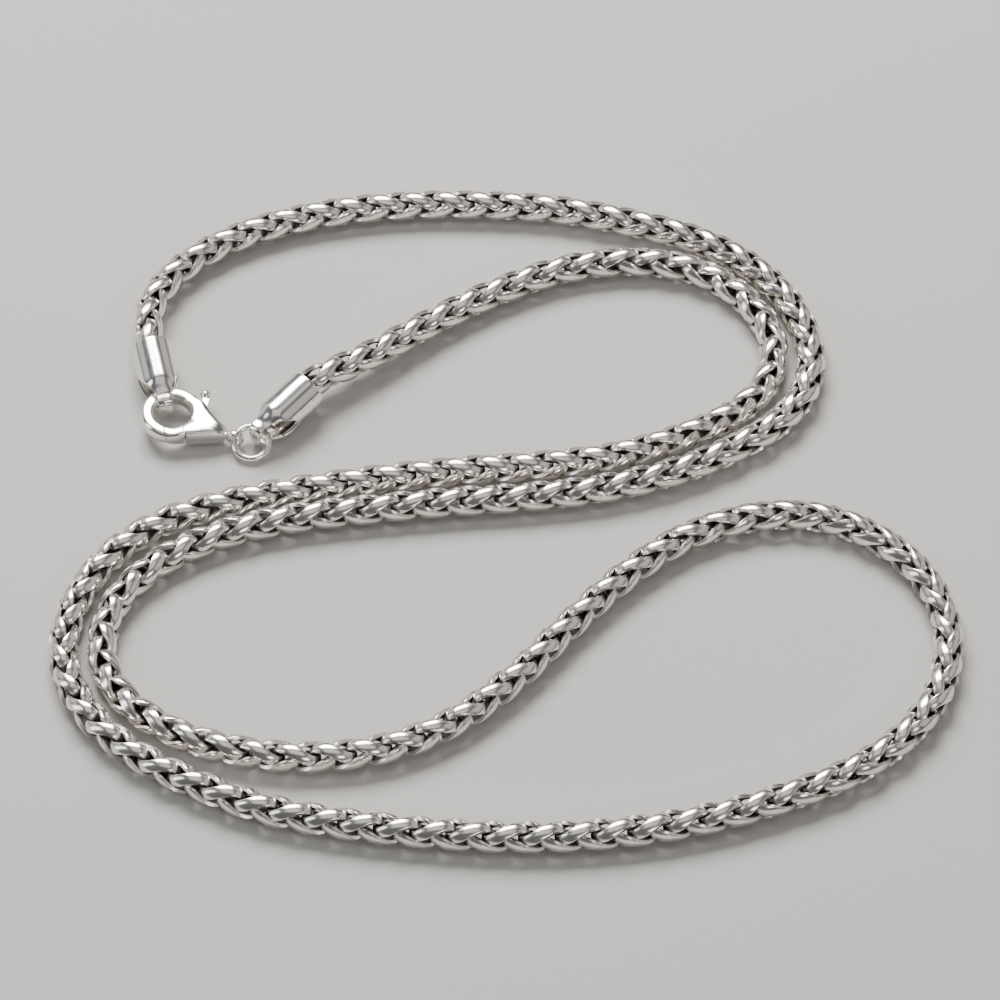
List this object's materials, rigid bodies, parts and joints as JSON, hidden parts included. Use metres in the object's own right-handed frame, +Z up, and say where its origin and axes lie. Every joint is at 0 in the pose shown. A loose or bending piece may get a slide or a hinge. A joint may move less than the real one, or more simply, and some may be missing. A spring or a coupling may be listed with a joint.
{
  "type": "wheat chain necklace",
  "caption": "Fastened wheat-link neck chain that lies flat in a doubled S, with tube end caps, a sprung lobster clasp and a jump ring.",
  "frame": {"origin": "centre of the bounding box's underside, on the surface the chain lies on", "axes": "+X to the right of the picture, the layout's longest extent; +Y to the back; +Z up from the surface"},
  "size_m": [0.0881, 0.0817, 0.0046],
  "materials": {
    "silver": "polished silver, slightly worn, darker in the recesses"
  },
  "bodies": {
    "necklace": {"chain": "silver", "left_end_cap": "silver", "right_end_cap": "silver", "clasp_body": "silver", "lever_pin": "silver", "jump_ring": "silver"},
    "lever": {"clasp_lever": "silver"}
  },
  "joints": [
    {"name": "lever_hinge", "type": "hinge", "parent": "necklace", "child": "lever", "pos_m": [-0.0309, 0.00925, 0.00149], "axis": [-0.0814, 0.0312, -0.9962], "range_deg": [0, 22], "stiffness_Nm_per_rad": 0.001, "springref_deg": -5.73}
  ]
}
